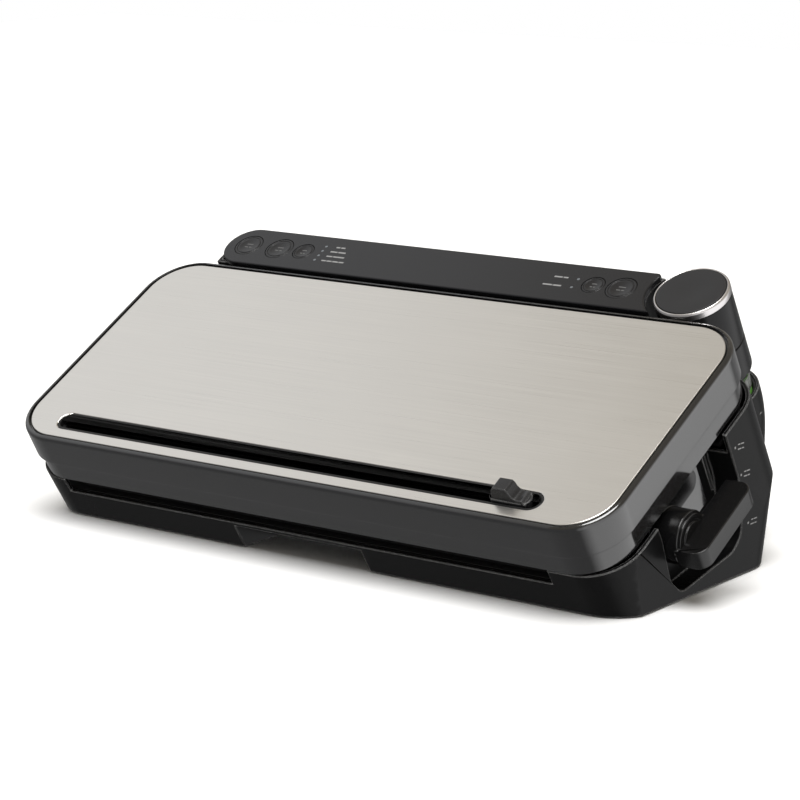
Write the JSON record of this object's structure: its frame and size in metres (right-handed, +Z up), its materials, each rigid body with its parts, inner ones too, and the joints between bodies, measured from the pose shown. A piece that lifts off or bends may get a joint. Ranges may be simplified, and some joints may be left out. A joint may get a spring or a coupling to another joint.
{
  "type": "vacuum sealer",
  "caption": "Countertop vacuum sealer with a sloped steel lid, sliding bag cutter, side latch lever, rear control strip and a docked handheld vacuum pump.",
  "frame": {"origin": "middle of the whole object's bounding box, on the table plane", "axes": "+X towards the latch lever's side, +Y towards the back with the handheld and power inlet, +Z up"},
  "size_m": [0.4104, 0.2204, 0.1504],
  "materials": {
    "brushed_steel": "brushed along the width",
    "gloss_black": "smooth gloss",
    "panel_black": "smooth gloss",
    "satin_black": "satin",
    "inner_black": "fine matte",
    "lever_black": "satin",
    "silver_trim": "satin",
    "soft_cap": "soft matte",
    "clear_cup": "clear",
    "green_seal": "matte",
    "grey_rubber": "matte",
    "black_rubber": "matte",
    "zinc_steel": "plain",
    "release_cloth": "woven, coated",
    "lamp_clear": "clear",
    "board_green": "coated board",
    "blade_steel": "polished",
    "white_valve": "plain",
    "brass_pins": "plain",
    "cast_case": "cast"
  },
  "bodies": {
    "base": {"base_tub": "satin_black", "inner_deck": "inner_black", "hinge_brackets": "zinc_steel", "lower_gasket": "grey_rubber", "seal_bar": "inner_black", "heating_strip": "zinc_steel", "release_tape": "release_cloth", "latch_bushes": "white_valve", "rear_housing": "satin_black", "control_panel": "panel_black", "lamp_lenses": "lamp_clear", "control_board": "board_green", "dock_cup": "inner_black", "pump_motor_can": "zinc_steel", "pump_crankcase": "cast_case", "pump_link": "white_valve", "pump_head": "cast_case", "vacuum_hose": "black_rubber", "base_floor": "inner_black", "rubber_feet": "black_rubber", "floor_screws": "zinc_steel", "power_inlet": "inner_black", "transformer": "cast_case", "release_valve": "white_valve", "pressure_switch": "white_valve", "lid_switch": "inner_black", "charge_contacts": "brass_pins"},
    "lid": {"lid_frame": "gloss_black", "lid_plate": "brushed_steel", "cutter_track": "inner_black", "lid_liner": "inner_black", "lid_gasket": "grey_rubber", "pressure_strip": "black_rubber", "lid_catches": "zinc_steel", "latch_plate": "gloss_black", "hinge_pins": "zinc_steel", "liner_screws": "zinc_steel"},
    "cutter": {"cutter_knob": "satin_black", "cutter_carriage": "inner_black", "cutter_blade": "blade_steel"},
    "tray": {"drip_tray": "inner_black"},
    "latch": {"latch_lever": "lever_black", "latch_shaft": "zinc_steel", "latch_hooks": "zinc_steel"},
    "handheld": {"hand_upper": "gloss_black", "hand_lower": "gloss_black", "hand_ring": "silver_trim", "hand_reservoir": "clear_cup", "hand_nozzle": "green_seal", "hand_motor": "zinc_steel", "hand_battery": "white_valve"},
    "hand_cap": {"hand_button": "soft_cap"},
    "rotor": {"pump_rotor": "zinc_steel"},
    "button_vacuum_seal_cap": {"button_vacuum_seal": "panel_black"},
    "button_seal_only_cap": {"button_seal_only": "panel_black"},
    "button_moist_dry_cap": {"button_moist_dry": "panel_black"},
    "button_pulse_cap": {"button_pulse": "panel_black"},
    "button_marinate_cap": {"button_marinate": "panel_black"}
  },
  "joints": [
    {"name": "lid_hinge", "type": "hinge", "parent": "base", "child": "lid", "pos_m": [-0.01025, 0.02976, 0.1227], "axis": [-1, 0, 0], "range_deg": [0, 60]},
    {"name": "cutter_slide", "type": "slide", "parent": "lid", "child": "cutter", "axis": [-1, 0, 0], "range_m": [0, 0.285]},
    {"name": "tray_lift", "type": "slide", "parent": "base", "child": "tray", "axis": [0, -0.4901, 0.8716], "range_m": [0, 0.018]},
    {"name": "latch_turn", "type": "hinge", "parent": "base", "child": "latch", "pos_m": [-0.01025, -0.0363, 0.03576], "axis": [1, 0, 0], "range_deg": [-25, 15]},
    {"name": "handheld_lift", "type": "slide", "parent": "base", "child": "handheld", "axis": [0, -0.4901, 0.8716], "range_m": [0, 0.075]},
    {"name": "hand_cap_press", "type": "slide", "parent": "handheld", "child": "hand_cap", "axis": [0, 0.4901, -0.8716], "range_m": [0, 0.0007], "stiffness_N_per_m": 600, "springref_m": -0.002},
    {"name": "rotor_spin", "type": "hinge", "parent": "base", "child": "rotor", "pos_m": [-0.03025, 0.05311, 0.0215], "axis": [1, 0, 0], "continuous": true},
    {"name": "vacuum_seal_press", "type": "slide", "parent": "base", "child": "button_vacuum_seal_cap", "axis": [0, 0.4901, -0.8716], "range_m": [0, 0.0008], "stiffness_N_per_m": 400, "springref_m": -0.0015},
    {"name": "seal_only_press", "type": "slide", "parent": "base", "child": "button_seal_only_cap", "axis": [0, 0.4901, -0.8716], "range_m": [0, 0.0008], "stiffness_N_per_m": 400, "springref_m": -0.0015},
    {"name": "moist_dry_press", "type": "slide", "parent": "base", "child": "button_moist_dry_cap", "axis": [0, 0.4901, -0.8716], "range_m": [0, 0.0008], "stiffness_N_per_m": 400, "springref_m": -0.0015},
    {"name": "pulse_press", "type": "slide", "parent": "base", "child": "button_pulse_cap", "axis": [0, 0.4901, -0.8716], "range_m": [0, 0.0008], "stiffness_N_per_m": 400, "springref_m": -0.0015},
    {"name": "marinate_press", "type": "slide", "parent": "base", "child": "button_marinate_cap", "axis": [0, 0.4901, -0.8716], "range_m": [0, 0.0008], "stiffness_N_per_m": 400, "springref_m": -0.0015}
  ]
}
